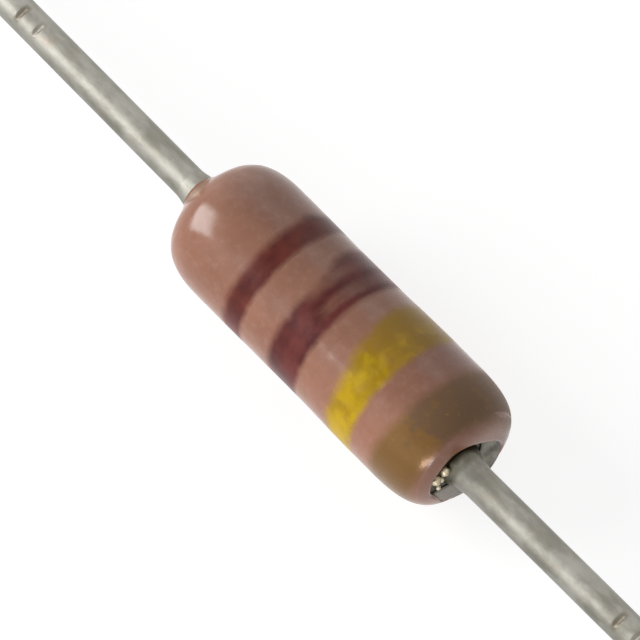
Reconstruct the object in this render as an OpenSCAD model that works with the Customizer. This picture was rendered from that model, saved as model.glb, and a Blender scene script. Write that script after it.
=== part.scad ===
// Axial-lead film resistor of the quarter-watt size, in millimetres.
// The body lies along X. Its far end is closed by the coat, and its near end, at +X,
// has a round opening in the coat that leaves the cap and its weld bare.

/* [Ceramic rod] */
// Diameter of the ceramic rod
rod_d = 1.66; // [1.4:0.02:2]
// Length of the ceramic rod
rod_len = 5.44; // [4.6:0.02:7]
// Chamfer on the rod's edges
rod_edge = 0.05; // [0.02:0.01:0.08]

/* [Resistive film] */
// Thickness of the resistive film
film_t = 0.015; // [0.01:0.005:0.03]
// Width of the helical groove that trims the film
groove_w = 0.14; // [0.08:0.02:0.24]
// Advance of the groove in one turn
groove_pitch = 0.46; // [0.36:0.02:0.7]
// Depth that the groove cuts into the rod
groove_depth = 0.04; // [0.02:0.01:0.08]
// Length of uncut film beside each cap
groove_margin = 0.2; // [0.1:0.05:0.4]

/* [End caps] */
// Wall of the pressed end caps
cap_wall = 0.15; // [0.1:0.01:0.2]
// Thickness of the caps' closed ends
cap_end = 0.17; // [0.12:0.01:0.25]
// Length of rod that each cap grips
cap_grip = 1.1; // [0.8:0.05:1.4]
// Radius of the caps' outer corners
cap_round = 0.18; // [0.1:0.02:0.26]

/* [Leads] */
// Diameter of the wire leads
lead_d = 0.55; // [0.4:0.05:0.7]
// Length of each lead beyond the coat
lead_len = 28; // [20:0.5:38]
// Growth of a lead's foot, which welding upset
foot_upset = 0.01; // [0.005:0.005:0.02]
// Distance of the near lead from the body's axis
near_offset = 0.11; // [0:0.01:0.14]
// Lean of the near lead, in degrees
near_lean = 0.35; // [0:0.05:1]
// Lean of the far lead, in degrees
far_lean = 0.3; // [0:0.05:1]
// Side that both leads lean to, in degrees round the body from +Y
lean_side = 20; // [0:5:355]

/* [Grip marks] */
// Depth of the grip marks on the leads
mark_depth = 0.03; // [0.01:0.01:0.06]
// Radius of the edge that pressed the marks
mark_r = 0.07; // [0.04:0.01:0.12]
// Distance between the two marks on a lead
mark_gap = 0.4; // [0.3:0.05:0.8]
// Distance of the near lead's first mark from the coat
near_mark = 3.56; // [1:0.02:8]
// Distance of the far lead's first mark from the coat
far_mark = 3.94; // [1:0.02:8]
// Side that the marks are on, in degrees round the body from +Y
mark_side = 110; // [0:5:355]

/* [Welds] */
// Spread of a weld over the cap, beyond the lead
weld_spread = 0.15; // [0.1:0.01:0.18]
// Height that the near weld climbs along its lead
near_rise = 0.5; // [0.3:0.02:0.8]
// Height that the far weld climbs along its lead
far_rise = 0.74; // [0.66:0.02:0.9]
// Thickness of a weld's top edge
weld_edge = 0.006; // [0.004:0.001:0.01]
// Radius of the splash beads on the bare weld
bead_r = 0.07; // [0.04:0.01:0.09]

/* [Lacquer coat] */
// Thickness of the coat over the far cap
coat_far = 0.165; // [0.12:0.005:0.25]
// Thickness of the coat over the near cap
coat_near = 0.18; // [0.12:0.005:0.25]
// Height of the coat at its waist, above the caps' radius
coat_waist = 0.155; // [0.1:0.005:0.25]
// Depth of the near cap's face below the coat's near end
near_end = 0.14; // [0.1:0.01:0.2]
// Thickness of the coat over the far cap's face
far_end = 0.32; // [0.26:0.01:0.4]
// Length of the rounding at the far end
far_round = 1.08; // [0.8:0.02:1.4]
// Thickness of the coat over the far cap's corner
far_corner = 0.08; // [0.04:0.005:0.12]
// Length of the rounding at the near end
near_round = 1.5; // [0.8:0.02:1.6]
// Thickness of the coat over the near cap's corner
near_corner = 0.045; // [0.03:0.005:0.08]
// Height that the coat climbs the far lead
coat_climb = 0.21; // [0.1:0.01:0.3]
// Thickness of the coat's edge round the far lead
coat_edge = 0.015; // [0.01:0.005:0.03]
// Diameter of the opening over the near cap
opening_d = 1.24; // [1.1:0.02:1.36]
// Radius of the opening's lip
lip_round = 0.08; // [0.04:0.01:0.09]

/* [Colour bands] */
// Thickness of the band paint
paint_t = 0.02; // [0.01:0.005:0.03]
// Distance from the near end to the tolerance band
tolerance_from_end = 0.14; // [0.1:0.02:0.4]
// Width of the tolerance band
tolerance_w = 0.79; // [0.4:0.01:0.9]
// Gap between the third and the tolerance band
third_gap = 0.575; // [0.3:0.005:0.7]
// Width of the third band
third_w = 0.66; // [0.3:0.01:0.8]
// Gap between the second and the third band
second_gap = 0.61; // [0.3:0.005:0.7]
// Width of the second band
second_w = 0.69; // [0.3:0.01:0.8]
// Gap between the first and the second band
first_gap = 0.595; // [0.3:0.005:0.7]
// Width of the first band
first_w = 0.52; // [0.3:0.01:0.8]

/* [Hidden] */
$fn = 96;

rod_r = rod_d / 2;
film_r = rod_r + film_t;
cap_r = film_r + cap_wall;
core_half = rod_len / 2 + cap_end;
core_shift = (far_end - near_end) / 2;
near_face = core_half + core_shift;
far_face = core_half - core_shift;
body_half = near_face + near_end;
lead_r = lead_d / 2;
weld_r = lead_r + weld_spread;
opening_r = opening_d / 2;

far_side_r = cap_r + coat_far;
near_side_r = cap_r + coat_near;
waist_r = cap_r + coat_waist;
far_full = corner_fullness(far_side_r, far_end, far_round, far_corner);
near_full = corner_fullness(near_side_r, near_end, near_round, near_corner);

tolerance_x = body_half - tolerance_from_end;
third_x = tolerance_x - tolerance_w - third_gap;
second_x = third_x - third_w - second_gap;
first_x = second_x - second_w - first_gap;

round_steps = 14;
waist_steps = 8;
fillet_steps = 8;
lip_steps = 5;
groove_steps = 30;
groove_length = rod_len - 2 * cap_grip - 2 * groove_margin;
groove_turns = floor(groove_length / groove_pitch);
weld_curve = 1.5;
climb_curve = 2;
climb_flare = 0.08;
lip_angle = 75;
foot_sink = 0.03;
bead_angles = [130, 165, 200, 300];
bead_scales = [0.8, 1, 0.7, 0.6];

// Frames. The body's axis is X, and its middle is the origin. The rod and its caps are
// shifted along it, because the coat is thicker at the far end. Each lead has a frame of its
// own, with Z along the wire, its origin on the cap's face and X to the side that it leans to.

module along_x() {
    rotate([0, 90, 0]) children();
}

module core_frame() {
    translate([core_shift, 0, 0]) along_x() children();
}

module lead_frame(face, offset, lean) {
    rotate([lean_side, 0, 0]) translate([face, -offset, 0])
        rotate([0, 90, lean]) rotate([0, 0, 90]) children();
}

module near_frame() {
    lead_frame(near_face, near_offset, near_lean) children();
}

module far_frame() {
    mirror([1, 0, 0]) lead_frame(far_face, 0, far_lean) children();
}

// Cuts off what reaches below the plane of a cap's face, where leads and welds stand.
module outside_cap(face, side) {
    depth = 2 * lead_d;
    difference() {
        children();
        translate([side * (face - depth / 2), 0, 0]) cube([depth, 4 * weld_r, 4 * weld_r], center = true);
    }
}

// Trimming groove: a helix of rectangular section, cut through the film into the rod.

function groove_section(k) =
    let (
        angle = 360 * k / groove_steps,
        x = core_shift + groove_pitch * (k / groove_steps - groove_turns / 2),
        low = rod_r - groove_depth,
        high = film_r + groove_depth
    )
    [for (corner = [[-1, low], [1, low], [1, high], [-1, high]])
        [x + corner[0] * groove_w / 2, corner[1] * cos(angle), corner[1] * sin(angle)]];

module trimming_groove() {
    last = groove_steps * groove_turns;
    points = [for (k = [0 : last]) each groove_section(k)];
    sides = [for (k = [0 : last - 1], c = [0 : 3])
        [4 * k + c, 4 * k + 4 + c, 4 * k + 4 + (c + 1) % 4, 4 * k + (c + 1) % 4]];
    ends = [[0, 1, 2, 3], [for (c = [3 : -1 : 0]) 4 * last + c]];
    polyhedron(points, concat(sides, ends), convexity = 10);
}

// Outlines, as radius and distance along the axis.

function foot_radius(rise, top) = lead_r + foot_upset * (1 - rise / top);

function weld_radius(rise, top) =
    lead_r + weld_edge + (weld_spread - weld_edge) * pow(1 - rise / top, weld_curve);

function weld_outline(top) =
    [for (i = [0 : fillet_steps]) let (rise = top * i / fillet_steps) [weld_radius(rise, top), rise]];

// Exponent at which a superellipse that starts at the lead passes over a cap's corner with the
// given thickness of coat. A part of 1 is the full width or length of the rounding.
function corner_fullness(side_r, end, length, thickness) =
    let (reach = (cap_round + thickness) * cos(45))
    fullness(
        (cap_r - cap_round + reach - lead_r) / (side_r - lead_r),
        1 - (end + cap_round - reach) / length,
        1, 12, 24
    );

// Halves the range of exponents until the two parts' powers add up to 1.
function fullness(part_a, part_b, low, high, halvings) =
    let (middle = (low + high) / 2)
    halvings == 0 ? middle
        : pow(part_a, middle) + pow(part_b, middle) > 1
            ? fullness(part_a, part_b, middle, high, halvings - 1)
            : fullness(part_a, part_b, low, middle, halvings - 1);

// Quarter of a superellipse, from the end's flat centre out to the side.
function rounding(side_r, length, full) =
    [for (i = [0 : round_steps]) let (angle = 90 * i / round_steps)
        [lead_r + (side_r - lead_r) * pow(sin(angle), 2 / full), length * (1 - pow(cos(angle), 2 / full))]];

// Half of the waist, which swells smoothly from the middle to one rounding.
function waist(side_r, middle_r, reach) =
    [for (i = [1 : waist_steps - 1]) let (part = i / waist_steps)
        [middle_r + (side_r - middle_r) * (1 - cos(180 * part)) / 2, reach * part]];

// The coat's skin where it climbs the far lead, from its edge back to the end face.
function climb(grow) =
    [for (i = [0 : fillet_steps]) let (part = i / fillet_steps, rise = far_end + coat_climb * (1 - part))
        [weld_radius(rise, far_rise) + coat_edge + climb_flare * pow(part, climb_curve),
            -far_face - rise - grow]];

function coat_outline(grow) =
    let (
        half = body_half + grow,
        collar = climb(grow),
        far_tip = [for (p = rounding(far_side_r + grow, far_round, far_full))
            if (p[0] > collar[fillet_steps][0]) [p[0], p[1] - half]],
        near_tip = [for (p = rounding(near_side_r + grow, near_round, near_full)) [p[0], half - p[1]]],
        far_waist = [for (p = waist(far_side_r + grow, waist_r + grow, half - far_round)) [p[0], -p[1]]],
        near_waist = waist(near_side_r + grow, waist_r + grow, half - near_round)
    )
    concat(
        [[0, collar[0][1]]], collar, far_tip, reverse(far_waist), [[waist_r + grow, 0]],
        near_waist, reverse(near_tip), [[0, half]]
    );

function reverse(list) = [for (i = [len(list) - 1 : -1 : 0]) list[i]];

// The full skin of the body, or that skin grown by a layer of paint.
module body_form(grow = 0) {
    along_x() rotate_extrude() polygon(coat_outline(grow));
}

// The outside of a cap, as a solid: a drawn cup with a rounded outer corner.
module cap_form() {
    mouth = rod_len / 2 - cap_grip;
    corner = [cap_r - cap_round, core_half - cap_round];
    arc = [for (i = [0 : lip_steps]) let (angle = 90 * i / lip_steps)
        corner + cap_round * [cos(angle), sin(angle)]];
    rotate_extrude() polygon(concat([[0, mouth], [cap_r, mouth]], arc, [[0, core_half]]));
}

// The space that the rod, its film and the two caps fill.
module core_form() {
    core_frame() {
        cylinder(r = film_r, h = rod_len, center = true);
        cap_form();
        mirror([0, 0, 1]) cap_form();
    }
}

// The opening over the near cap, with a rounded lip that flares outwards.
module near_opening() {
    flare = [for (i = [0 : lip_steps]) let (angle = lip_angle * i / lip_steps)
        [opening_r + lip_round * (1 - cos(angle)), near_end - lip_round * (1 - sin(angle))]];
    outer = flare[lip_steps] + [lip_round, lip_round];
    near_frame() rotate_extrude()
        polygon(concat([[0, -cap_end / 2], [opening_r, -cap_end / 2]], flare, [outer, [0, outer[1]]]));
}

// A fillet of weld metal round a lead's foot.
module weld_ring(top) {
    foot = [[foot_radius(-foot_sink, top), -foot_sink], [weld_radius(-foot_sink, top), -foot_sink]];
    rotate_extrude() polygon(concat(foot, weld_outline(top), [[lead_r, top]]));
}

// Bites that a gripping tool left across a wire.
module grip_marks(first) {
    for (i = [0, 1]) {
        rotate([0, 0, mark_side - lean_side])
            translate([lead_r - mark_depth + mark_r, 0, first + i * mark_gap])
                rotate([90, 0, 0]) cylinder(r = mark_r, h = 2 * lead_d, center = true);
    }
}

// A straight wire, whose foot is slightly thicker up to the top of its weld.
module wire(length, top) {
    foot = [[0, -foot_sink], [foot_radius(-foot_sink, top), -foot_sink], [lead_r, top]];
    rotate_extrude() polygon(concat(foot, [[lead_r, length], [0, length]]));
}

// The pieces.

module ceramic_rod() {
    outline = [[rod_r - rod_edge, rod_len / 2], [rod_r, rod_len / 2 - rod_edge]];
    color("ivory")
        difference() {
            core_frame() rotate_extrude() polygon(concat(
                [[0, rod_len / 2]], outline, [for (p = reverse(outline)) [p[0], -p[1]]], [[0, -rod_len / 2]]
            ));
            trimming_groove();
        }
}

module resistive_film() {
    color([0.2, 0.19, 0.18])
        difference() {
            core_frame() cylinder(r = film_r, h = rod_len - 2 * rod_edge, center = true);
            core_frame() cylinder(r = rod_r, h = rod_len, center = true);
            trimming_groove();
        }
}

module end_cap() {
    difference() {
        cap_form();
        cylinder(r = film_r, h = rod_len, center = true);
    }
}

module end_cap_near() {
    color([0.66, 0.65, 0.6]) core_frame() end_cap();
}

module end_cap_far() {
    color([0.66, 0.65, 0.6]) core_frame() mirror([0, 0, 1]) end_cap();
}

module weld_near() {
    color([0.72, 0.71, 0.66])
        outside_cap(near_face, 1) near_frame() {
            weld_ring(near_rise);
            for (i = [0 : len(bead_angles) - 1]) {
                rotate([0, 0, bead_angles[i]]) translate([weld_r, 0, 0])
                    sphere(r = bead_r * bead_scales[i]);
            }
        }
}

module weld_far() {
    color([0.72, 0.71, 0.66]) outside_cap(far_face, -1) far_frame() weld_ring(far_rise);
}

module lead_near() {
    color([0.62, 0.61, 0.56])
        outside_cap(near_face, 1) near_frame() difference() {
            wire(near_end + lead_len, near_rise);
            grip_marks(near_end + near_mark);
        }
}

module lead_far() {
    color([0.62, 0.61, 0.56])
        outside_cap(far_face, -1) far_frame() difference() {
            wire(far_end + lead_len, far_rise);
            grip_marks(far_end + far_mark);
        }
}

module lacquer_coat() {
    color([0.62, 0.45, 0.38])
        difference() {
            body_form();
            core_form();
            far_frame() {
                weld_ring(far_rise);
                wire(lead_len, far_rise);
            }
            near_opening();
        }
}

// A ring of paint on the coat, whose near edge is at x.
module band(x, width) {
    difference() {
        intersection() {
            body_form(paint_t);
            translate([x - width, -2 * cap_r, -2 * cap_r]) cube([width, 4 * cap_r, 4 * cap_r]);
        }
        body_form();
    }
}

module first_band() {
    color([0.38, 0.18, 0.16]) band(first_x, first_w);
}

module second_band() {
    color([0.38, 0.18, 0.16]) band(second_x, second_w);
}

module third_band() {
    color([0.72, 0.58, 0.1]) band(third_x, third_w);
}

module tolerance_band() {
    color([0.5, 0.38, 0.22]) band(tolerance_x, tolerance_w);
}

ceramic_rod();
resistive_film();
end_cap_near();
end_cap_far();
weld_near();
weld_far();
lead_near();
lead_far();
lacquer_coat();
first_band();
second_band();
third_band();
tolerance_band();
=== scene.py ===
import math

import bpy
import numpy as np
from mathutils import Matrix, Vector


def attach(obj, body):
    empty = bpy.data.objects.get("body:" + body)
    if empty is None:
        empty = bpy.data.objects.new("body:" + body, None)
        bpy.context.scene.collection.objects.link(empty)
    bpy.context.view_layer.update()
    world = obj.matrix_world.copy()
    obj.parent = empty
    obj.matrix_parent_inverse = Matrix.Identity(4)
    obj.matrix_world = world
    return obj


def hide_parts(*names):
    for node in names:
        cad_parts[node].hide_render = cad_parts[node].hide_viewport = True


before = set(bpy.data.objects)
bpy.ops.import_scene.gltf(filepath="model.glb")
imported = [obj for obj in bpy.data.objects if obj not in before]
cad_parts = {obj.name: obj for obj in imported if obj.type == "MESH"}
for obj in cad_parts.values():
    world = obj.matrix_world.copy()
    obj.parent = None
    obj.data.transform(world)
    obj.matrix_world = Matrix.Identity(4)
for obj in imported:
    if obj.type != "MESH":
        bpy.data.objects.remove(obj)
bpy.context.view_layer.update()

# An axial film resistor. Shapes are worked out in millimetres and made in metres.
# X runs along the body. Angles round it start at the side the leads lean to and turn
# towards the top of the body.

mm = 0.001                     # in metres
leanSide = math.radians(20)    # where the leads lean to, from +Y towards +Z
wireRadius = 0.275
closeGap = 0.001               # between faces that meet, so that none lies in another
alongBody = np.array([1.0, 0, 0])
sideways = np.array([0, math.cos(leanSide), math.sin(leanSide)])
upwards = np.array([0, -math.sin(leanSide), math.cos(leanSide)])
print("frame loaded,", len(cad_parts), "nodes")


def circle(count):
    return np.arange(count) * 2 * math.pi / count


def ripple(x, angle, seed, waves=9, fine=1.0):
    # smooth unevenness from -1 to 1 that closes on itself round the body
    rng = np.random.default_rng(seed)
    total = 0
    for _ in range(waves):
        turns = rng.integers(0, 5 + int(3 * fine))
        along = rng.uniform(0.6, 3.2) * fine
        phase = rng.uniform(0, 6.28)
        height = rng.uniform(0.4, 1)
        total = total + np.sin(turns * angle + along * x + phase) * height
    usualHeight = 0.55
    return total / (usualHeight * waves)


def around(x, radius, angle, centre=0.0):
    # points at a radius round an axis that is moved sideways by centre
    x = np.broadcast_to(x, np.shape(angle))
    aside = radius * np.cos(angle) + centre
    above = radius * np.sin(angle)
    return x[:, None] * alongBody + aside[:, None] * sideways + above[:, None] * upwards


def makeMesh(name, points, faces):
    points = np.asarray(points, float)
    mesh = bpy.data.meshes.new(name)
    mesh.from_pydata((points * mm).tolist(), [], [tuple(f) for f in faces])
    mesh.update()
    # a solid whose faces look inwards is turned inside out
    volume = 0.0
    for f in mesh.polygons:
        corners = [mesh.vertices[i].co for i in f.vertices]
        for i in range(1, len(corners) - 1):
            volume += corners[0].dot(corners[i].cross(corners[i + 1]))
    if volume < 0:
        mesh.flip_normals()
    for f in mesh.polygons:
        f.use_smooth = True
    piece = bpy.data.objects.new(name, mesh)
    bpy.context.scene.collection.objects.link(piece)
    return piece


def loft(rings, loop=False):
    # faces between neighbouring rings; one that isn't a loop gets a centre point at each end
    rings = np.asarray(rings, float)
    rows, count = rings.shape[:2]
    points = rings.reshape(-1, 3)
    faces = []
    for i in range(rows if loop else rows - 1):
        a, b = i * count, (i + 1) % rows * count
        for j in range(count):
            k = (j + 1) % count
            faces.append((a + j, a + k, b + k, b + j))
    if not loop:
        first, last = len(points), len(points) + 1
        points = np.vstack([points, rings[0].mean(0), rings[-1].mean(0)])
        end = (rows - 1) * count
        for j in range(count):
            k = (j + 1) % count
            faces.append((first, k, j))
            faces.append((last, end + j, end + k))
    return points, faces


def joined(parts):
    points, faces, start = [], [], 0
    for p, f in parts:
        points.append(p)
        faces += [tuple(i + start for i in face) for face in f]
        start += len(p)
    return np.vstack(points), faces


def finishPiece(piece, nodes, material):
    piece.data.materials.append(material)
    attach(piece, "root")
    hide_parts(*nodes)


def newFinish(name):
    finish = bpy.data.materials.new(name)
    finish.use_nodes = True
    return finish, finish.node_tree, finish.node_tree.nodes["Principled BSDF"]


def add(tree, kind, inputs=None, **settings):
    made = tree.nodes.new(kind)
    for name, value in settings.items():
        setattr(made, name, value)
    for key, value in (inputs or {}).items():
        if isinstance(value, bpy.types.NodeSocket):
            tree.links.new(value, made.inputs[key])
        else:
            made.inputs[key].default_value = value
    return made


def place(tree):
    # the point on the piece, in millimetres
    metres = add(tree, "ShaderNodeTexCoord").outputs["Object"]
    inputs = {0: metres, "Scale": 1 / mm}
    return add(tree, "ShaderNodeVectorMath", inputs, operation="SCALE").outputs[0]


def reach(tree, point, direction):
    # how far the point lies along a direction
    inputs = {0: point, 1: tuple(direction)}
    return add(tree, "ShaderNodeVectorMath", inputs, operation="DOT_PRODUCT").outputs["Value"]


def stretched(tree, point, amounts):
    # below 1, what is drawn at the point grows longer that way
    inputs = {0: point, 1: amounts}
    return add(tree, "ShaderNodeVectorMath", inputs, operation="MULTIPLY").outputs[0]


def maths(tree, operation, first, second=0.0):
    return add(tree, "ShaderNodeMath", {0: first, 1: second}, operation=operation).outputs[0]


def speckle(tree, point, scale, detail=2.0, rough=0.5, warp=0.0):
    # noise from 0 to 1, with 1 / scale millimetres as the size of its largest spots
    inputs = {
        "Vector": point, "Scale": scale, "Detail": detail, "Roughness": rough, "Distortion": warp,
    }
    return add(tree, "ShaderNodeTexNoise", inputs).outputs[0]


def swing(tree, point, amount, *grain):
    # noise on both sides of 0
    noise = maths(tree, "SUBTRACT", speckle(tree, point, *grain), 0.5)
    return maths(tree, "MULTIPLY", noise, amount)


def fade(tree, value, low, high, start=0.0, end=1.0):
    # goes smoothly from start to end while the value goes from low to high
    inputs = {"Value": value, "From Min": low, "From Max": high, "To Min": start, "To Max": end}
    return add(tree, "ShaderNodeMapRange", inputs, interpolation_type="SMOOTHSTEP").outputs[0]


def blended(tree, share, first, second):
    # goes from the first colour to the second; each is three parts, 0 to 255, or a socket
    made = add(tree, "ShaderNodeMix", data_type="RGBA")
    for key, value in ((0, share), (6, first), (7, second)):
        if isinstance(value, bpy.types.NodeSocket):
            tree.links.new(value, made.inputs[key])
        elif key == 0:
            made.inputs[key].default_value = value
        else:
            made.inputs[key].default_value = linear(value)
    return made.outputs[2]


def linear(colour):
    # a colour as a paint chart gives it, 0 to 255, as Blender's sockets take it
    parts = [c / 255 for c in colour]
    parts = [c / 12.92 if c <= 0.04045 else ((c + 0.055) / 1.055) ** 2.4 for c in parts]
    return (*parts, 1.0)


def bump(tree, height, depth, strength=1.0):
    inputs = {"Height": height, "Distance": depth * mm, "Strength": strength}
    return add(tree, "ShaderNodeBump", inputs).outputs[0]


def between(tree, share, first, second):
    # the number that lies a share of the way from one to another
    inputs = {0: share, 2: first, 3: second}
    return add(tree, "ShaderNodeMix", inputs).outputs[0]


# the body's skin, which the coat and the bands share
skin = {
    "halfLength": 3.12,
    "farRadius": 1.16,
    "nearRadius": 1.175,
    "waistRadius": 1.15,
    "farRounding": 1.08,
    "nearRounding": 1.5,
    "farFullness": 2.597,      # exponent of the rounding; 2 is an ellipse
    "nearFullness": 3.995,
    "startRadius": wireRadius,  # where both roundings start
    "unevenness": 0.007,
}


def skinRadius(x):
    x = np.asarray(x, float)
    radius = np.empty_like(x)
    for sign, side, length, full in (
        (-1, skin["farRadius"], skin["farRounding"], skin["farFullness"]),
        (1, skin["nearRadius"], skin["nearRounding"], skin["nearFullness"]),
    ):
        mine = x * sign >= 0
        depth = skin["halfLength"] - np.abs(x[mine])
        flat = skin["halfLength"] - length
        part = np.clip(1 - depth / length, 0, 1)
        tip = skin["startRadius"] + (side - skin["startRadius"]) * (1 - part ** full) ** (1 / full)
        swell = (1 - np.cos(math.pi * np.clip(np.abs(x[mine]) / flat, 0, 1))) / 2
        middle = skin["waistRadius"] + (side - skin["waistRadius"]) * swell
        radius[mine] = np.where(depth < length, tip, middle)
    return radius


def nearDepth(radius):
    # how far the near end's skin lies below the body's end at a radius
    side, length, full = skin["nearRadius"], skin["nearRounding"], skin["nearFullness"]
    part = np.clip((radius - skin["startRadius"]) / (side - skin["startRadius"]), 0, 1)
    return length * (1 - (1 - part ** full) ** (1 / full))


def settle(x, angle):
    # the dipped coat is never quite round; this only ever takes away
    return -skin["unevenness"] * (0.5 + 0.5 * ripple(x, angle, 11))


coat = {
    "segments": 256,
    "collarHeight": 0.48,      # how far the coat reaches up the far lead from its cap
    "collarEdge": 0.016,
    "collarRows": 8,
    "collarDip": 0.055,        # the collar's edge lies lower on the body's upper side
    "collarSwell": 0.25,       # and stands out there by this share of the dip
    "collarWaver": 0.014,
    "collarUnevenness": 0.006,
    "hollowFrom": 0.42,        # the coat fills the hollow between this height up the lead
    "hollowTo": 0.89,          # and this radius of the body
    "hollowPasses": 60,
    "outlineStep": 0.02,       # between the points of the far end's section
    "bodyFrom": 0.45,          # the body's own unevenness sets in at this radius
    "bodyFade": 0.2,           # and is full this much further out
    "waistFrom": -2.02,
    "waistTo": 1.62,
    "waistRows": 84,
    "roundingRows": 54,
    "faceFrom": 2.93,          # where the near rounding gives way to the near face
    "faceRows": 16,
    # the lip's radius at places round the opening, in degrees
    "opening": [(10, 0.55), (45, 0.53), (67, 0.67), (88, 0.725), (108, 0.70), (135, 0.69),
                (157, 0.65), (-170, 0.61), (-137, 0.70), (-105, 0.82), (-75, 0.88), (-48, 0.86),
                (-33, 0.76), (-15, 0.62)],
    "openingRaggedness": 0.012,
    "openingSharpness": 18,    # how soon one place's radius gives way to the next one's
    "openingCentre": -0.11,
    "lipRound": 0.06,
    "lipUnevenness": 0.3,
    # the inside, along the near cap, the film and the far cap, as place and radius
    "inside": [(2.95, 0.93), (2.88, 0.985), (2.80, 0.996), (1.71, 0.996), (1.70, 0.846),
               (-1.53, 0.846), (-1.54, 0.996), (-2.62, 0.996), (-2.72, 0.955), (-2.79, 0.88),
               (-2.801, 0.6)],
    "gloss": 1.55,             # how strongly light bends into it
    "roughest": 0.24,
    "smoothest": 0.17,
    "base": (155, 102, 77),
    "deep": (141, 90, 66),
    "pale": (169, 123, 104),
    "lip": (112, 78, 60),      # browner and darker towards the near end's opening
    "lipShare": 0.42,
    "towardsLip": (2.8, 3.08),     # where that starts and is full
    "peel": 0.0022,            # depth of its orange peel
    "finePeel": 0.08,          # share of a finer grain in it
}
capFace = {"near": 2.98, "far": 2.80}
weldTop = {"near": 0.5, "far": 0.74}


def weldRadius(rise, top, spread=0.15, fall=1.5, edge=0.006):
    # a weld is widest at its foot and thins out up the lead
    return wireRadius + edge + (spread - edge) * np.clip(1 - rise / top, 0, None) ** fall


def openingRadius(angle):
    total, weight = 0, 0
    for degrees, radius in coat["opening"]:
        near = np.cos(angle - math.radians(degrees)) - 1
        pull = np.exp(coat["openingSharpness"] * near)
        total = total + pull * radius
        weight = weight + pull
    return total / weight + coat["openingRaggedness"] * ripple(0, angle, 5, 8, 2.2)


def farOutline():
    # the section of the collar and the far rounding at even steps, with the hollow between
    # them filled, and the number of steps that the collar takes
    outline = []
    for rise in np.linspace(coat["collarHeight"], coat["hollowFrom"], coat["collarRows"]):
        edge = coat["collarEdge"] * (1 + coat["collarHeight"] - rise)
        outline.append((-capFace["far"] - rise, weldRadius(rise, weldTop["far"]) + edge))
    side, full = skin["farRadius"], skin["farFullness"]
    for part in np.sin(np.linspace(0.06, math.pi / 2, 90)):
        radius = skin["startRadius"] + (side - skin["startRadius"]) * part ** (2 / full)
        if radius > coat["hollowTo"]:
            depth = skin["farRounding"] * (1 - (1 - part ** 2) ** (1 / full))
            outline.append((depth - skin["halfLength"], radius))
    outline = np.array(outline)
    walk = np.concatenate([[0], np.cumsum(np.hypot(*np.diff(outline, axis=0).T))])
    step, corner = coat["outlineStep"], coat["collarRows"] - 1
    stops = np.arange(0, walk[-1], step)
    even = np.array([np.interp(stops, walk, column) for column in outline.T])
    # only the hollow and a little on both sides of it is eased
    window = slice(2, int(walk[corner + 1] / step) + 12)
    for _ in range(coat["hollowPasses"]):
        eased = (np.roll(even, 1, axis=1) + 2 * even + np.roll(even, -1, axis=1)) / 4
        even[:, window] = eased[:, window]
    return even.T, int(walk[corner] / step)


def skinRing(x, angle):
    return around(x, skinRadius([x])[0] + settle(x, angle), angle)


def makeCoat():
    angle = circle(coat["segments"])
    rings = []
    # down the collar and over the far rounding
    outline, corner = farOutline()
    for i, (x, radius) in enumerate(outline):
        tip = max(0, 1 - i / corner)
        dip = coat["collarDip"] * (0.5 + 0.5 * np.sin(angle)) ** 2 * tip
        waver = coat["collarWaver"] * ripple(0, angle, 22) * tip + dip
        body = min(1, max(0, (radius - coat["bodyFrom"]) / coat["bodyFade"]))
        collar = coat["collarUnevenness"] * ripple(x * 2, angle, 21) * (1 - body)
        uneven = settle(x, angle) * body + collar
        rings.append(around(x + waver, radius + uneven + coat["collarSwell"] * dip, angle))
    # along the waist and over the near rounding
    start, end, face = coat["waistFrom"], coat["waistTo"], coat["faceFrom"]
    for x in np.linspace(start, end, coat["waistRows"]):
        rings.append(skinRing(x, angle))
    for part in np.linspace(0.02, 1, coat["roundingRows"]):
        rings.append(skinRing(end + (face - end) * math.sin(part * math.pi / 2), angle))
    # across the near face to the lip, then down the opening's wall
    centre, opening = coat["openingCentre"], openingRadius(angle)
    lip = coat["lipRound"] * (1 + coat["lipUnevenness"] * ripple(0, angle, 8))
    outer = around(0, skinRadius([face])[0] + settle(face, angle), angle)
    crest = around(0, opening + lip, angle, centre)
    for part in np.linspace(0, 1, coat["faceRows"])[1:]:
        flat = outer * (1 - part) + crest * part
        radius = np.hypot(flat[:, 1], flat[:, 2])
        x = skin["halfLength"] - nearDepth(radius)
        rings.append(flat + x[:, None] * alongBody)
    crestX = rings[-1][:, 0]
    for turn in np.radians([75, 60, 45, 30, 15, 0]):
        x = crestX - lip * (1 - math.sin(turn))
        rings.append(around(x, opening + lip * (1 - math.cos(turn)), angle, centre))
    rings.append(around(capFace["near"] + closeGap, opening, angle, centre))
    # back along what fills the coat, and up inside the collar
    for x, radius in coat["inside"]:
        rings.append(around(x, np.full_like(angle, radius), angle))
    for rise in np.linspace(closeGap, coat["collarHeight"] - 0.004, 10):
        radius = weldRadius(rise, weldTop["far"]) + closeGap + 0 * angle
        rings.append(around(-capFace["far"] - rise, radius, angle))
    return makeMesh("lacquerCoat", *loft(rings, loop=True))


def lacquerColour(tree, point):
    # slow drift between a pinker and a browner tone, with a little mottle
    drift = speckle(tree, stretched(tree, point, (0.8, 1, 1)), 0.9, 3.0, 0.55)
    mottle = speckle(tree, point, 7.0, 3.0, 0.6)
    tone = blended(tree, fade(tree, drift, 0.3, 0.7), coat["deep"], coat["base"])
    tone = blended(tree, fade(tree, mottle, 0.42, 0.8, 0, 0.45), tone, coat["pale"])
    towardsLip = fade(tree, reach(tree, point, alongBody), *coat["towardsLip"], 0, coat["lipShare"])
    return blended(tree, towardsLip, tone, coat["lip"])


def orangePeel(tree, point):
    fine = maths(tree, "MULTIPLY", speckle(tree, point, 24.0, 2.0, 0.5), coat["finePeel"])
    return maths(tree, "ADD", speckle(tree, point, 3.5, 2.0, 0.4), fine)


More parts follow.
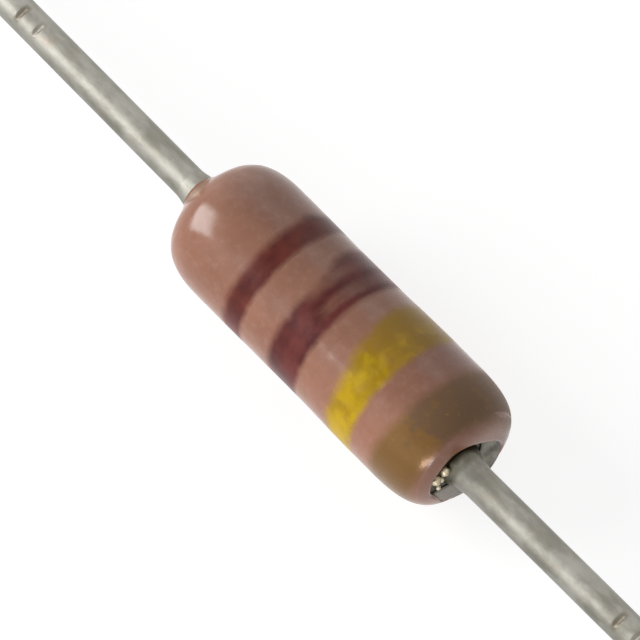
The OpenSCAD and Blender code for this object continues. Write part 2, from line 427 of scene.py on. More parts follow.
def lacquerRoughness(tree, point):
    cloud = speckle(tree, point, 3.0, 3.0)
    return fade(tree, cloud, 0.3, 0.7, coat["smoothest"], coat["roughest"])


def makeLacquer():
    finish, tree, shader = newFinish("satinLacquer")
    point = place(tree)
    tree.links.new(lacquerColour(tree, point), shader.inputs["Base Color"])
    tree.links.new(bump(tree, orangePeel(tree, point), coat["peel"]), shader.inputs["Normal"])
    tree.links.new(lacquerRoughness(tree, point), shader.inputs["Roughness"])
    shader.inputs["IOR"].default_value = coat["gloss"]
    return finish


lacquer = makeLacquer()
finishPiece(makeCoat(), ["lacquer_coat"], lacquer)
print("coat made")


bands = {
    "segments": 256,
    "rows": 44,
    "sink": 0.004,             # how far the paint's underside lies in the coat
    "thinEdge": -0.0005,       # the film starts just under the skin, so no step shows
    "edgeWidth": 0.30,
    "margin": 0.06,            # clear film beyond the paint's own edges
    "wobble": 0.01,            # of the film's edges
    "lipGap": 0.01,            # between the film and the opening's lip
    "relief": 0.005,           # height of brush lines and flakes
    # the stretch of skin that bands can lie on: its start, where the near rounding begins
    # and how far that runs
    "trackStart": -2.2, "trackTurn": 1.6, "trackRounding": 1.515,
}


def skinTrack():
    # the skin's section as distance travelled, with the outward direction at each point
    turn = bands["trackTurn"]
    rounding = turn + bands["trackRounding"] * np.sin(np.linspace(0.002, 1.55, 900))
    x = np.concatenate([np.linspace(bands["trackStart"], turn, 400), rounding])
    radius = skinRadius(x)
    travel = np.concatenate([[0], np.cumsum(np.hypot(np.diff(x), np.diff(radius)))])
    slopeX, slopeR = np.gradient(x, travel), np.gradient(radius, travel)
    return travel, x, radius, -slopeR, slopeX


track = skinTrack()


def trackAt(x):
    return np.interp(x, track[1], track[0])


def lipTravel(angle):
    # how far along the skin a film can run before the opening's lip, all round the body
    turn = circle(720)
    crest = around(0, openingRadius(turn) + 1.5 * coat["lipRound"], turn, coat["openingCentre"])
    aside, above = crest @ sideways, crest @ upwards
    places, distances = np.arctan2(above, aside), np.hypot(aside, above)
    lipRadius = np.interp(angle, places, distances, period=2 * math.pi)
    nearEnd = track[1] > bands["trackTurn"] + 0.1
    return np.interp(-lipRadius, -track[2][nearEnd], track[0][nearEnd])


def bandRing(travel, lift, angle):
    x, radius, outX, outR = (np.interp(travel, track[0], column) for column in track[1:])
    return around(x + lift * outX, radius + settle(x, angle) + lift * outR, angle)


def makeBand(name, spec, seed):
    angle, thickness = circle(bands["segments"]), spec["thickness"]
    start = spec["start"] - spec["early"] - bands["margin"]
    end = spec["end"] + bands["margin"]
    low = trackAt(start) + bands["wobble"] * ripple(0, angle, seed, 9, 1.6)
    high = trackAt(end) + bands["wobble"] * ripple(0, angle, seed + 1, 9, 1.6)
    high = np.minimum(high, lipTravel(angle) - bands["lipGap"])
    rings = []
    # the rows lie closer at both edges
    for part in (1 - np.cos(np.linspace(0, math.pi, bands["rows"]))) / 2:
        travel = low + (high - low) * part
        inward = np.clip(np.minimum(travel - low, high - travel) / bands["edgeWidth"], 0, 1)
        rise = (1 - np.cos(inward * math.pi)) / 2
        patch = 0.85 + 0.15 * ripple(travel * 2, angle, seed + 2, 9, 1.5)
        lift = bands["thinEdge"] + (thickness - bands["thinEdge"]) * rise * patch
        rings.append(bandRing(travel, lift, angle))
    for part in np.linspace(1, 0, 6):
        rings.append(bandRing(low + (high - low) * part, -bands["sink"], angle))
    return makeMesh(name, *loft(rings, loop=True))


def edgeCover(tree, point, spec):
    # 1 where the paint is full, falling to 0 at its two edges, which wander a little
    side = reach(tree, point, sideways)
    wander = swing(tree, point, spec["ragged"], 4.0, 3.0, 0.6)
    slant = maths(tree, "MULTIPLY", side, -spec["slant"])
    x = maths(tree, "ADD", maths(tree, "ADD", reach(tree, point, alongBody), wander), slant)
    # the paint starts earlier towards the side where it runs out thin
    early = fade(tree, side, spec["earlyFrom"], 1.1, 0, spec["early"])
    start, end = spec["start"], spec["end"]
    rising = fade(tree, maths(tree, "ADD", x, early), start, start + spec["softStart"])
    falling = fade(tree, x, end - spec["softEnd"], end, 1, 0)
    return maths(tree, "MULTIPLY", rising, falling)


def paintOver(tree, shader, point, cover, paint, roughness, relief, gloss):
    # paint where the cover is 1, and the lacquer below it where the cover is 0
    colour = blended(tree, cover, lacquerColour(tree, point), paint)
    tree.links.new(colour, shader.inputs["Base Color"])
    roughness = between(tree, cover, lacquerRoughness(tree, point), roughness)
    tree.links.new(roughness, shader.inputs["Roughness"])
    tree.links.new(between(tree, cover, coat["gloss"], gloss), shader.inputs["IOR"])
    peel = maths(tree, "MULTIPLY", orangePeel(tree, point), coat["peel"] / bands["relief"])
    height = maths(tree, "ADD", peel, maths(tree, "MULTIPLY", relief, cover))
    tree.links.new(bump(tree, height, bands["relief"]), shader.inputs["Normal"])


def streakLine(tree, point, middle, width):
    # 1 along a brush line that runs round the body, 0 beside it
    wander = swing(tree, point, 0.12, 2.5, 2.0)
    x = maths(tree, "ADD", reach(tree, point, alongBody), wander)
    away = maths(tree, "ABSOLUTE", maths(tree, "SUBTRACT", x, middle))
    return fade(tree, away, 0.0, width, 1, 0)


def brownPaint(name, spec):
    finish, tree, shader = newFinish(name)
    point = place(tree)
    side = reach(tree, point, sideways)
    cover = edgeCover(tree, point, spec)
    cloud = speckle(tree, stretched(tree, point, (1.4, 1, 1)), 2.2, 4.0, 0.55)
    paint = blended(tree, fade(tree, cloud, 0.35, 0.7), spec["dark"], spec["light"])
    lines = speckle(tree, stretched(tree, point, (1, 0.12, 0.12)), 4.6, 2.0, 0.5)
    # on one side the paint is thin, and only its brush lines stay dark
    kept = maths(tree, "MULTIPLY", fade(tree, lines, 0.4, 0.65), 0.3)
    for middle, width in spec["streaks"]:
        kept = maths(tree, "MAXIMUM", kept, streakLine(tree, point, middle, width))
    thin = fade(tree, side, spec["thinFrom"], spec["thinTo"], 0, spec["thinness"])
    thin = maths(tree, "MULTIPLY", thin, fade(tree, side, 0.5, 1.0, 1, 0.4))
    worn = maths(tree, "MULTIPLY", maths(tree, "SUBTRACT", 1.0, kept), thin)
    cover = maths(tree, "MULTIPLY", cover, maths(tree, "SUBTRACT", 1.0, worn))
    roughness = fade(tree, cloud, 0.3, 0.7, 0.26, 0.36)
    relief = maths(tree, "MULTIPLY", lines, 0.6)
    paintOver(tree, shader, point, cover, paint, roughness, relief, spec["gloss"])
    return finish


# a band's start and end lie along the body; early is how much sooner it starts on one side
firstBand = {
    "start": -1.51, "end": -0.91, "thickness": 0.002,
    "softStart": 0.23, "softEnd": 0.14,
    "ragged": 0.1, "slant": 0.0, "early": 0.05, "earlyFrom": 0.2,
    "dark": (82, 24, 18), "light": (108, 46, 36),
    "streaks": [(-1.24, 0.30)],
    "thinFrom": 0.2, "thinTo": 1.0, "thinness": 0.35,
    "gloss": 1.3,
}
secondBand = {
    "start": -0.44, "end": 0.38, "thickness": 0.0025,
    "softStart": 0.20, "softEnd": 0.14,
    "ragged": 0.1, "slant": 0.0, "early": 0.26, "earlyFrom": 0.15,
    "dark": (80, 24, 22), "light": (108, 46, 42),
    "streaks": [(-0.12, 0.17), (0.22, 0.13)],
    "thinFrom": -0.12, "thinTo": 0.22, "thinness": 0.55,
    "gloss": 1.3,
}
thirdBand = {
    "start": 0.91, "end": 1.68, "thickness": 0.003,
    "softStart": 0.28, "softEnd": 0.18,
    "ragged": 0.16, "slant": 0.0, "early": 0.36, "earlyFrom": -0.9,
    # painted light and shade: the bright colour also stands for the light on the band's lower side,
    # the dull one for the shade on its upper side
    "bright": (195, 160, 0), "dullAndShade": (162, 128, 0),
    "thinFrom": -0.10, "thinTo": 0.30, "thinness": 0.24,
    "dullFrom": 1.0, "dullTo": 1.35, "dullness": 0.13,      # duller paint beside its start
    "gloss": 1.25,
}
toleranceBand = {
    "start": 2.03, "end": 3.10, "thickness": 0.003,
    "softStart": 0.28, "softEnd": 0.24,
    "ragged": 0.12, "slant": 0.10, "early": 0.06, "earlyFrom": 0.2,
    # painted shade: the bronze colour also stands for the shade on the band's upper side
    "gold": (122, 85, 33), "bronzeAndShade": (101, 73, 46), "fleck": (150, 116, 58),
    "metal": 0.3,              # how much of a metal the paint is
    "gloss": 1.5,
}


def yellowPaint(spec):
    finish, tree, shader = newFinish("yellowPaint")
    point = place(tree)
    x, side = reach(tree, point, alongBody), reach(tree, point, sideways)
    cover = edgeCover(tree, point, spec)
    cloud = speckle(tree, point, 3.0, 2.6, 0.5, 0.3)
    # painted light and shade: the paint is made lighter on its lower side, where the lamps fall,
    # and darker on its upper side
    tone = maths(tree, "ADD", cloud, fade(tree, side, -0.4, 0.2, 0.08, -0.10))
    duller = fade(tree, x, spec["dullFrom"], spec["dullTo"], spec["dullness"], 0)
    tone = maths(tree, "SUBTRACT", tone, duller)
    paint = blended(tree, fade(tree, tone, 0.34, 0.70), spec["dullAndShade"], spec["bright"])
    patch = fade(tree, speckle(tree, point, 5.5, 2.0, 0.55), 0.5, 0.72)
    # thin on one side, from a line that wanders
    side = maths(tree, "ADD", side, swing(tree, point, 0.6, 2.2, 3.0, 0.6))
    thin = fade(tree, side, spec["thinFrom"], spec["thinTo"], 0.03, spec["thinness"])
    worn = maths(tree, "ADD", maths(tree, "MULTIPLY", patch, 0.12), thin)
    cover = maths(tree, "MULTIPLY", cover, maths(tree, "SUBTRACT", 1.0, worn))
    roughness = fade(tree, cloud, 0.3, 0.7, 0.28, 0.4)
    relief = maths(tree, "MULTIPLY", patch, 0.5)
    paintOver(tree, shader, point, cover, paint, roughness, relief, spec["gloss"])
    return finish


def goldPaint(spec):
    finish, tree, shader = newFinish("goldPaint")
    point = place(tree)
    side = reach(tree, point, sideways)
    cover = edgeCover(tree, point, spec)
    cloud = speckle(tree, point, 3.4, 5.0, 0.62, 0.3)
    flake = speckle(tree, point, 15.0, 3.0, 0.7)
    paintedLitSide = fade(tree, side, -0.6, 0.2, 0.24, -0.16)      # painted light and shade: more gold on the lit lower side, more bronze on the shaded upper side
    tone = fade(tree, maths(tree, "ADD", cloud, paintedLitSide), 0.36, 0.64)
    paint = blended(tree, tone, spec["bronzeAndShade"], spec["gold"])
    paint = blended(tree, fade(tree, flake, 0.6, 0.78, 0, 0.6), paint, spec["fleck"])
    tree.links.new(maths(tree, "MULTIPLY", cover, spec["metal"]), shader.inputs["Metallic"])
    roughness = fade(tree, side, -0.5, 0.2, 0.25, 0.46)
    relief = maths(tree, "MULTIPLY", flake, 0.5)
    paintOver(tree, shader, point, cover, paint, roughness, relief, spec["gloss"])
    return finish


brownOne = brownPaint("brownPaintOne", firstBand)
brownTwo = brownPaint("brownPaintTwo", secondBand)
yellow, gold = yellowPaint(thirdBand), goldPaint(toleranceBand)
for name, nodeName, slot, spec, finish, seed in (
    ("firstBand", "first_band", "brown_paint", firstBand, brownOne, 31),
    ("secondBand", "second_band", "brown_paint", secondBand, brownTwo, 41),
    ("thirdBand", "third_band", "yellow_paint", thirdBand, yellow, 51),
    ("toleranceBand", "tolerance_band", "gold_paint", toleranceBand, gold, 61),
):
    finishPiece(makeBand(name, spec, seed), [nodeName], finish)
print("bands made")


leads = {
    "segments": 96,
    "footRows": 8,
    "markRows": 41,
    "rowSpacing": 0.2,
    "radius": wireRadius,
    "footGrowth": 0.01,
    "length": 28.0,            # beyond the coat
    "endChamfer": 0.04,
    "markDepth": 0.03,
    "markRadius": 0.07,
    "markSide": 90,            # degrees round the lead, towards the top of the body
    "markStretch": 0.13,       # the rows lie closer this far on both sides of a mark
    "unevenness": 0.002,
    "dark": (130, 128, 118),
    "light": (157, 155, 147),
    "stain": (150, 137, 124),
    "drawn": (168, 166, 158),  # fine lines from drawing the wire
    # painted shade: the colour that the grip marks are darkened towards
    "markShade": (92, 80, 62),      # in the grip marks
    "smoothest": 0.41,
    "roughest": 0.51,
}
# cover is the coat's height over the cap there; marks lie at these distances from the cap
leadPlaces = {
    # the last pair is how much painted shade each grip mark gets
    "near": {"sign": 1, "shift": -0.11, "lean": math.radians(0.35), "cover": 0.14,
             "marks": (3.70, 4.10), "markShading": (0.60, 0.25)},
    "far": {"sign": -1, "shift": 0.0, "lean": math.radians(0.3), "cover": 0.32,
            "marks": (4.26, 4.66), "markShading": (0.25, 0.60)},
}


def leadPoint(end, distance, flat):
    # turns a section across a lead into its place, at a distance from the cap's face
    spec = leadPlaces[end]
    lean, sign = spec["lean"], spec["sign"]
    along = np.array([sign * math.cos(lean), 0, 0]) + sideways * math.sin(lean)
    start = np.array([sign * capFace[end], 0, 0]) + sideways * spec["shift"]
    return start + np.multiply.outer(distance, along) + flat


def leadRings(end, profile, angle):
    # rings at (distance, radius) pairs, where the radius may change round the lead
    rings = []
    for distance, radius in profile:
        flat = around(0, radius + 0 * angle, angle)
        rings.append(leadPoint(end, np.broadcast_to(distance, angle.shape), flat))
    return rings


def makeLead(end):
    spec, angle = leadPlaces[end], circle(leads["segments"])
    total = spec["cover"] + leads["length"]
    stops = [np.linspace(-0.02, weldTop[end], leads["footRows"])]
    stops.append(np.arange(weldTop[end] + 0.1, total - 0.1, leads["rowSpacing"]))
    stretch = leads["markStretch"]
    for mark in spec["marks"]:
        stops.append(np.linspace(mark - stretch, mark + stretch, leads["markRows"]))
    distances = np.unique(np.round(np.concatenate(stops), 4))
    profile = []
    for distance in distances:
        growth = leads["footGrowth"] * max(0, 1 - distance / weldTop[end])
        uneven = leads["unevenness"] * 0.5 * (1 + ripple(distance, angle, 71, 7, 2.0))
        radius = leads["radius"] + growth - uneven
        facing = np.cos(angle - math.radians(leads["markSide"]))
        # a mark is the hollow that a round edge pressed across the wire
        for mark in spec["marks"]:
            away = abs(distance - mark)
            if away < leads["markRadius"]:
                floor = leads["radius"] - leads["markDepth"] + leads["markRadius"]
                floor -= math.sqrt(leads["markRadius"] ** 2 - away ** 2)
                radius = np.where(radius * facing > floor, floor / np.maximum(facing, 0.05), radius)
        profile.append((distance, radius))
    chamfer = leads["endChamfer"]
    profile.append((total - chamfer, leads["radius"] - closeGap))
    profile.append((total, leads["radius"] - chamfer))
    profile.append((total, leads["radius"] * 0.5))
    return makeMesh(end + "Lead", *loft(leadRings(end, profile, angle)))


def wireColour(tree, point):
    # also gives the noise of its clouds and of its drawn lines
    drawn = speckle(tree, stretched(tree, point, (0.22, 1, 1)), 16.0, 4.0, 0.6)
    slow = stretched(tree, point, (0.5, 1, 1))
    cloud = speckle(tree, slow, 3.0, 4.0, 0.6)
    spots = speckle(tree, slow, 5.0, 3.0, 0.6)
    metal = blended(tree, fade(tree, cloud, 0.34, 0.66), leads["dark"], leads["light"])
    metal = blended(tree, fade(tree, spots, 0.55, 0.75, 0, 0.5), metal, leads["stain"])
    metal = blended(tree, fade(tree, drawn, 0.5, 0.8, 0, 0.3), metal, leads["drawn"])
    return metal, cloud, drawn


def paintedMarkShade(tree, point):
    # painted shade: how dark the wire is painted, nowhere but in its grip marks
    x, markShade = reach(tree, point, alongBody), 0.0
    for end, spec in leadPlaces.items():
        for mark, share in zip(spec["marks"], spec["markShading"]):
            middle = spec["sign"] * (capFace[end] + mark)
            away = maths(tree, "ABSOLUTE", maths(tree, "SUBTRACT", x, middle))
            markShade = maths(tree, "MAXIMUM", markShade, fade(tree, away, 0.02, 0.1, share, 0))
    return maths(tree, "MULTIPLY", markShade, fade(tree, reach(tree, point, upwards), 0.19, 0.25))


def wireFinish():
    finish, tree, shader = newFinish("tinnedWire")
    point = place(tree)
    metal, cloud, drawn = wireColour(tree, point)
    # painted shade in the grip marks
    metal = blended(tree, paintedMarkShade(tree, point), metal, leads["markShade"])
    tree.links.new(metal, shader.inputs["Base Color"])
    shader.inputs["Metallic"].default_value = 1.0
    roughness = fade(tree, cloud, 0.3, 0.7, leads["smoothest"], leads["roughest"])
    tree.links.new(roughness, shader.inputs["Roughness"])
    dents = maths(tree, "ADD", maths(tree, "MULTIPLY", drawn, 0.5), speckle(tree, point, 9.0, 3.0))
    tree.links.new(bump(tree, dents, 0.003), shader.inputs["Normal"])
    return finish


wire = wireFinish()
for end in ("near", "far"):
    finishPiece(makeLead(end), ["lead_" + end], wire)
print("leads made")


cap = {
    "segments": 128,
    "faceRows": 26,
    "outerRadius": 0.993,
    "innerRadius": 0.846,
    "corner": 0.18,
    "floorThickness": 0.168,
    "grip": 1.1,
    "wallRow": 0.6,            # a row of points on the wall, from the rod's end
    "centre": 0.02,            # radius of the innermost rings
    "denting": 0.012,
    "dentsEnd": 0.1,           # the dents run out this close to the rounded corner
}
welds = {
    "segments": 128,
    "rows": 30,
    "ripple": 0.012,
    "spread": {"near": 0.11, "far": 0.15},
    "fall": {"near": 2.6, "far": 1.5},
    "foot": -0.005,            # how deep its foot lies in the cap
    "innerRadius": {"foot": 0.26, "top": 0.262},
    "dive": 0.012,             # its thin end runs in under the wire's skin
    "diveFrom": 0.7,           # shares of its height
    "diveLength": 0.3,
    "tinned": (3.12, 3.24),    # where its metal gives way to the wire's, along the body
    # degrees round the lead, distance from it, radius, and how far out the bead sits
    "beads": [(124, 0.45, 0.082, 0.4), (134, 0.64, 0.085, 0.85), (150, 0.43, 0.055, 0.5),
              (176, 0.50, 0.045, 0.5), (240, 0.50, 0.05, 0.9)],
    "beadSegments": 28,
    "beadRows": 17,
    "beadLumps": 0.14,
    # metal thrown up against the opening's wall
    "crust": {"from": -178, "to": 20, "peak": -50, "innerRadius": 0.33, "overlap": 0.10,
              "columns": 110, "rows": 21, "height": 0.118, "lumps": 0.16, "sink": 0.004,
              "crest": 0.6, "innerHeight": 0.2, "wallDrop": 0.72, "wallWidth": 0.4,
              "overLip": (-146, -124, -68, -54),       # where it climbs over the lip and leaves it
              "aboveCoat": 0.012, "belowCoat": 0.05},
}


def makeCap():
    angle = circle(cap["segments"])
    face, corner = capFace["near"], cap["corner"]
    flat = cap["outerRadius"] - corner
    rings = []
    for radius in np.linspace(cap["centre"], flat, cap["faceRows"]):
        dent = cap["denting"] * (0.5 + 0.5 * ripple(radius * 5, angle, 81, 9, 1.8))
        dent = dent * min(1, (flat - radius) / cap["dentsEnd"])
        rings.append(around(face - dent, np.full_like(angle, radius), angle))
    for turn in np.radians([15, 30, 45, 60, 75, 90]):
        x, radius = face - corner * (1 - math.cos(turn)), flat + corner * math.sin(turn)
        rings.append(around(x, np.full_like(angle, radius), angle))
    # down the wall to the mouth and back up the inside
    rodEnd = face - cap["floorThickness"]
    mouth, outer, inner = rodEnd - cap["grip"], cap["outerRadius"], cap["innerRadius"]
    cup = [(rodEnd - cap["wallRow"], outer), (mouth, outer), (mouth, inner), (rodEnd, inner),
           (rodEnd, cap["centre"])]
    for x, radius in cup:
        rings.append(around(x, np.full_like(angle, radius), angle))
    return makeMesh("nearCap", *loft(rings))


def fillet(end):
    angle = circle(welds["segments"])
    top, foot = weldTop[end], welds["foot"]
    profile = [(foot, welds["innerRadius"]["foot"])]
    for rise in np.linspace(foot, top, welds["rows"]):
        lump = welds["ripple"] * ripple(rise * 6, angle, 91, 9, 1.6) * (1 - rise / top) ** 2
        dive = welds["dive"] * max(0, rise / top - welds["diveFrom"]) / welds["diveLength"]
        radius = weldRadius(rise, top, welds["spread"][end], welds["fall"][end])
        profile.append((rise + 0 * angle, radius + lump - dive))
    profile.append((top, welds["innerRadius"]["top"]))
    return loft(leadRings(end, profile, angle), loop=True)


def bead(turn, distance, radius, lift, seed):
    # a drop of splashed metal
    angle, rings = circle(welds["beadSegments"]), []
    turn = math.radians(turn)
    middle = leadPoint("near", np.array(radius * lift), np.zeros(3))
    middle = middle + sideways * distance * math.cos(turn) + upwards * distance * math.sin(turn)
    for rise in np.radians(np.linspace(-86, 86, welds["beadRows"])):
        size = radius * (1 + welds["beadLumps"] * ripple(rise * 3, angle, seed, 6, 1.2))
        flat = around(0, size * math.cos(rise), angle)
        rings.append(middle + flat + (size * math.sin(rise))[:, None] * alongBody)
    return loft(rings)


def crust():
    # on the side away from the beads, as sections that follow each other round the opening
    spec, centre, face = welds["crust"], coat["openingCentre"], capFace["near"]
    turns = np.radians(np.linspace(spec["from"], spec["to"], spec["columns"]))
    parts, crest = np.linspace(0, 1, spec["rows"]), spec["crest"]
    # each section rises from the wire's side to its crest and drops towards the wall
    low = spec["innerHeight"]
    rising = low + (1 - low) * np.sin(np.clip(parts / crest, 0, 1) * math.pi / 2) ** 1.6
    outward = np.clip(parts - crest, 0, 1) / spec["wallWidth"]
    falling = 1 - spec["wallDrop"] * outward ** 4
    slope = np.where(parts < crest, rising, falling)
    rings = []
    for i, turn in enumerate(turns):
        # the sections shrink to nothing at both ends
        share = math.sin(math.pi * i / (len(turns) - 1)) ** 0.32
        peak = 0.85 + 0.15 * math.cos(turn - math.radians(spec["peak"]))
        height = spec["height"] * share * peak
        outer = openingRadius(turn) + spec["overlap"]
        inner = outer - (outer - spec["innerRadius"]) * share
        radii = inner + (outer - inner) * parts
        lumpy = spec["lumps"] * ripple(radii * 11, turn, 95, 11, 3.4)
        lumps = 1 + lumpy * np.sin(parts * math.pi) ** 0.5
        lift = height * slope * lumps - spec["sink"]
        # over the lip it lies on the coat, and beside that stretch it ends under it
        start, full, still, gone = np.radians(spec["overLip"])
        climb = min((turn - start) / (full - start), (gone - turn) / (gone - still))
        climb = np.clip(climb, 0, 1)
        aside, above = centre + radii * math.cos(turn), radii * math.sin(turn)
        skinLift = skin["halfLength"] - nearDepth(np.hypot(aside, above)) - face
        onLip = np.clip((radii - outer + spec["overlap"] + 0.04) / 0.05, 0, 1)
        level = skinLift + spec["aboveCoat"] - spec["belowCoat"] * (1 - climb)
        level = np.where(climb > 0, np.maximum(level, lift), np.minimum(level, lift))
        lift = lift + (level - lift) * onLip
        section = list(zip(lift, radii)) + [(-0.01, outer), (-0.01, inner)]
        ring = []
        for rise, radius in section:
            aside, above = centre + radius * math.cos(turn), radius * math.sin(turn)
            ring.append((face + rise) * alongBody + aside * sideways + above * upwards)
        rings.append(ring)
    return loft(rings)


def meltedMetal(name, spec):
    # painted shade, partly soot: the deep colour darkens the metal down in the opening, dark and
    # light clouds above it, the wire's above those
    finish, tree, shader = newFinish(name)
    point = place(tree)
    cloud = speckle(tree, point, 3.5, 4.0, 0.55)
    metal = blended(tree, fade(tree, cloud, 0.35, 0.65), spec["dark"], spec["light"])
    if "pale" in spec:
        # painted light: paler towards the lower side, where the light falls
        paintedLightShare = fade(tree, reach(tree, point, sideways), *spec["paleOver"], spec["paleShare"], 0)
        metal = blended(tree, paintedLightShare, metal, spec["pale"])
    x = maths(tree, "ABSOLUTE", reach(tree, point, alongBody))
    # painted shade, partly soot from the welding: darker down in the opening, towards the cap's
    # face
    metal = blended(tree, fade(tree, x, spec["shadeAndSootEnd"], spec["shadeAndSootStart"]), metal, spec["deep"])
    wireShare = fade(tree, x, *welds["tinned"])
    metal = blended(tree, wireShare, metal, wireColour(tree, point)[0])
    tree.links.new(metal, shader.inputs["Base Color"])
    shader.inputs["Metallic"].default_value = 1.0
    tree.links.new(fade(tree, cloud, 0.3, 0.7, *spec["rough"]), shader.inputs["Roughness"])
    dented = maths(tree, "SUBTRACT", 1.0, wireShare)
    dents = bump(tree, speckle(tree, point, 9.0, 3.0), 0.006, dented)
    tree.links.new(dents, shader.inputs["Normal"])
    return finish


# painted shade, partly soot: each deep colour darkens its metal down in the opening
capSootAndShade = {
    "light": (104, 102, 88), "dark": (74, 72, 60), "deep": (54, 47, 35),
    "shadeAndSootStart": 2.96, "shadeAndSootEnd": 3.0, "rough": (0.38, 0.48),
}
melted = {
    "light": (132, 129, 116), "dark": (100, 98, 86), "deep": (47, 41, 30),
    "shadeAndSootStart": 2.99, "shadeAndSootEnd": 3.11, "rough": (0.38, 0.48),
}
farMelted = {
    "light": (132, 129, 116), "dark": (104, 102, 90), "deep": (60, 56, 46),
    "shadeAndSootStart": 2.85, "shadeAndSootEnd": 3.0, "rough": (0.52, 0.60),
}
thrown = {
    "light": (130, 127, 116), "dark": (77, 75, 65), "deep": (58, 53, 44),
    "shadeAndSootStart": 2.98, "shadeAndSootEnd": 3.02, "rough": (0.40, 0.50),
    "pale": (160, 153, 146), "paleOver": (-0.50, -0.15), "paleShare": 0.62,      # painted light: paler on its lower side, where the light falls
}
# painted highlight: the beads' pale cream colour stands in for the glints they catch
paintedGlintSplash = {
    "light": (226, 215, 190), "dark": (180, 168, 142), "deep": (120, 110, 88),
    "shadeAndSootStart": 2.97, "shadeAndSootEnd": 3.0, "rough": (0.42, 0.52),
}
finishPiece(makeCap(), ["end_cap_near"], meltedMetal("capMetal", capSootAndShade))
beads = [bead(*spec, 101 + i) for i, spec in enumerate(welds["beads"])]
filletNear, crustNear = fillet("near"), crust()
nearWeld = makeMesh("nearWeld", *joined([filletNear, crustNear, joined(beads)]))
for name, spec in (("weldMetal", melted), ("crustMetal", thrown), ("splashMetal", paintedGlintSplash)):
    nearWeld.data.materials.append(meltedMetal(name, spec))
filletFaces = len(filletNear[1])
crustFaces = len(crustNear[1])
for i, face in enumerate(nearWeld.data.polygons):
    face.material_index = int(i >= filletFaces) + int(i >= filletFaces + crustFaces)
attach(nearWeld, "root")
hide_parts("weld_near")
farMetal = meltedMetal("farWeldMetal", farMelted)
finishPiece(makeMesh("farWeld", *fillet("far")), ["weld_far"], farMetal)
print("cap and welds made")


# the pieces inside keep their own meshes and only get a finish
inner = {
    "rod": {"light": (233, 228, 214), "dark": (214, 206, 188), "rough": 0.7},
    "film": {"light": (44, 42, 40), "dark": (28, 27, 26), "rough": 0.45},
    "cap": {"light": (172, 170, 158), "dark": (140, 138, 126), "rough": 0.35},
}


def innerFinish(name, spec, metallic=0.0, grain=12.0):
    finish, tree, shader = newFinish(name)
    point = place(tree)
    cloud = speckle(tree, point, grain, 4.0, 0.6)
    colour = blended(tree, fade(tree, cloud, 0.35, 0.65), spec["dark"], spec["light"])
    tree.links.new(colour, shader.inputs["Base Color"])
    shader.inputs["Metallic"].default_value = metallic
    roughness = fade(tree, cloud, 0.3, 0.7, spec["rough"] - 0.06, spec["rough"] + 0.06)
    tree.links.new(roughness, shader.inputs["Roughness"])
    tree.links.new(bump(tree, cloud, 0.006), shader.inputs["Normal"])
    return finish


for nodeName, finish in (
    ("ceramic_rod", innerFinish("rodCeramic", inner["rod"], grain=20.0)),
    ("resistive_film", innerFinish("carbonFilm", inner["film"])),
    ("end_cap_far", innerFinish("platedCap", inner["cap"], metallic=1.0)),
):
    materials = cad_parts[nodeName].data.materials
    materials.clear()
    materials.append(finish)
print("inner pieces finished")


studio = {
    "floorHeight": -1.197,
    "floorSize": 0.9,          # metres
    "floorPaper": 0.30,        # how much of the light the paper throws back
    "floorGlow": 0.84,         # the rest of its white, seen by the camera and in reflections
    "floorLight": 0.74,        # what the lit sheet gives the underside of the part
    "ambient": 0.20,
    "softbox": {"towards": (-0.722, -0.532, 0.442), "across": (0.315, -0.822, -0.474),
                "size": (0.145, 0.154), "distance": 0.25, "radiance": 6.8},
    "sideLight": {"towards": (0.67, -0.72, 0.1), "across": (0.72, 0.66, 0.0),
                  "size": (0.11, 0.05), "distance": 0.25, "radiance": 9.5},
    "frontCard": {"towards": (0.0, -0.99, 0.16), "across": (1.0, 0.0, 0.0),
                  "size": (0.34, 0.20), "distance": 0.25, "radiance": 0.45},
    "endCard": {"towards": (-0.8, 0.45, 0.4), "across": (0.49, 0.87, 0.0),
                "size": (0.30, 0.30), "distance": 0.25, "radiance": 0.45},
}


def seenDirectly(tree):
    # 1 for what the camera sees and for what shows in metal, gloss or glass
    path = add(tree, "ShaderNodeLightPath")
    either = maths(tree, "MAXIMUM", path.outputs["Is Camera Ray"], path.outputs["Is Glossy Ray"])
    return maths(tree, "MAXIMUM", either, path.outputs["Is Transmission Ray"])


def makeFloor():
    half, z = studio["floorSize"] / 2 / mm, studio["floorHeight"]
    corners = [(-half, -half, z), (half, -half, z), (half, half, z), (-half, half, z)]
    floor = makeMesh("paperFloor", corners, [(0, 1, 2, 3)])
    finish, tree, shader = newFinish("whitePaper")
    tree.nodes.remove(shader)
    paper = add(tree, "ShaderNodeBsdfDiffuse", {"Color": (studio["floorPaper"],) * 3 + (1,)})
    strength = between(tree, seenDirectly(tree), studio["floorLight"], studio["floorGlow"])
    glow = add(tree, "ShaderNodeEmission", {"Strength": strength})
    both = add(tree, "ShaderNodeAddShader", {0: paper.outputs[0], 1: glow.outputs[0]})
    tree.links.new(both.outputs[0], tree.nodes["Material Output"].inputs["Surface"])
    floor.data.materials.append(finish)


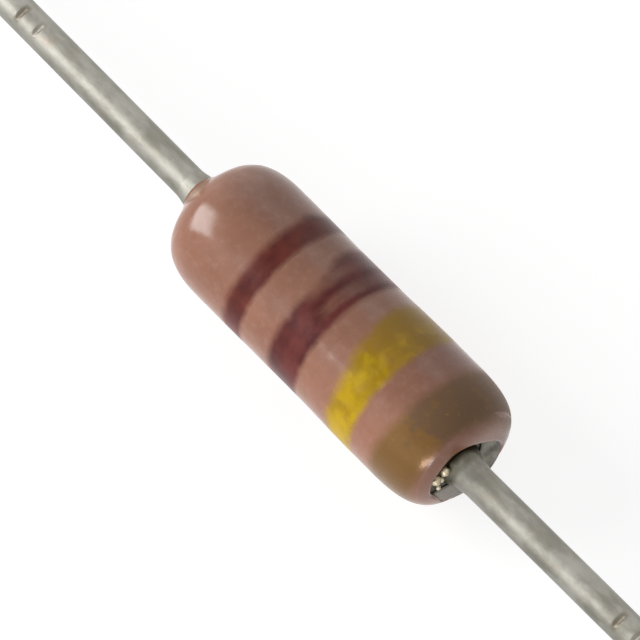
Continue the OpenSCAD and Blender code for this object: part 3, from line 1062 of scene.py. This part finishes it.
def makeWorld():
    world = bpy.data.worlds.new("whiteStudio")
    world.use_nodes = True
    tree = world.node_tree
    tree.nodes.clear()
    # white wherever it is seen, and a weaker light for the rest
    colour = (1, 1, 1, 1)
    inputs = {"Color": colour, "Strength": studio["ambient"]}
    ambient = add(tree, "ShaderNodeBackground", inputs)
    white = add(tree, "ShaderNodeBackground", {"Color": colour, "Strength": 1.0})
    inputs = {0: seenDirectly(tree), 1: ambient.outputs[0], 2: white.outputs[0]}
    both = add(tree, "ShaderNodeMixShader", inputs)
    out = add(tree, "ShaderNodeOutputWorld", {"Surface": both.outputs[0]})
    out.is_active_output = True
    bpy.context.scene.world = world


def makeLight(name, spec):
    back = Vector(spec["towards"]).normalized()
    across = Vector(spec["across"])
    across = (across - back * across.dot(back)).normalized()
    lamp = bpy.data.lights.new(name, "AREA")
    lamp.shape = "RECTANGLE"
    lamp.size, lamp.size_y = spec["size"]
    lamp.energy = math.pi * spec["size"][0] * spec["size"][1] * spec["radiance"]
    made = bpy.data.objects.new(name, lamp)
    turn = Matrix((across, back.cross(across), back)).transposed()
    made.matrix_world = Matrix.Translation(back * spec["distance"]) @ turn.to_4x4()
    bpy.context.scene.collection.objects.link(made)


makeFloor()
makeWorld()
for lampName in ("softbox", "sideLight", "frontCard", "endCard"):
    makeLight(lampName, studio[lampName])
bpy.context.scene.view_settings.view_transform = "Standard"
print("studio made")

view = {
    "azimuth": 48.7,
    "elevation": 61.5,
    "distance": 0.150,
    "lens": 544.0,
    "moveRight": -0.27,        # the body sits a little off the picture's middle
    "moveUp": 0.173,
}


def makeCamera():
    turn, rise = math.radians(view["azimuth"]), math.radians(view["elevation"])
    flat = math.cos(rise)
    back = Vector((math.sin(turn) * flat, -math.cos(turn) * flat, math.sin(rise)))
    right = Vector((math.cos(turn), math.sin(turn), 0))
    up = back.cross(right)
    lens = bpy.data.cameras.new("camera")
    lens.lens = view["lens"]
    lens.clip_start, lens.clip_end = 0.005, 5
    camera = bpy.data.objects.new("camera", lens)
    aim = right * view["moveRight"] * mm + up * view["moveUp"] * mm
    turned = Matrix((right, up, back)).transposed().to_4x4()
    camera.matrix_world = Matrix.Translation(aim + back * view["distance"]) @ turned
    bpy.context.scene.collection.objects.link(camera)
    bpy.context.scene.camera = camera


makeCamera()
print("camera made")
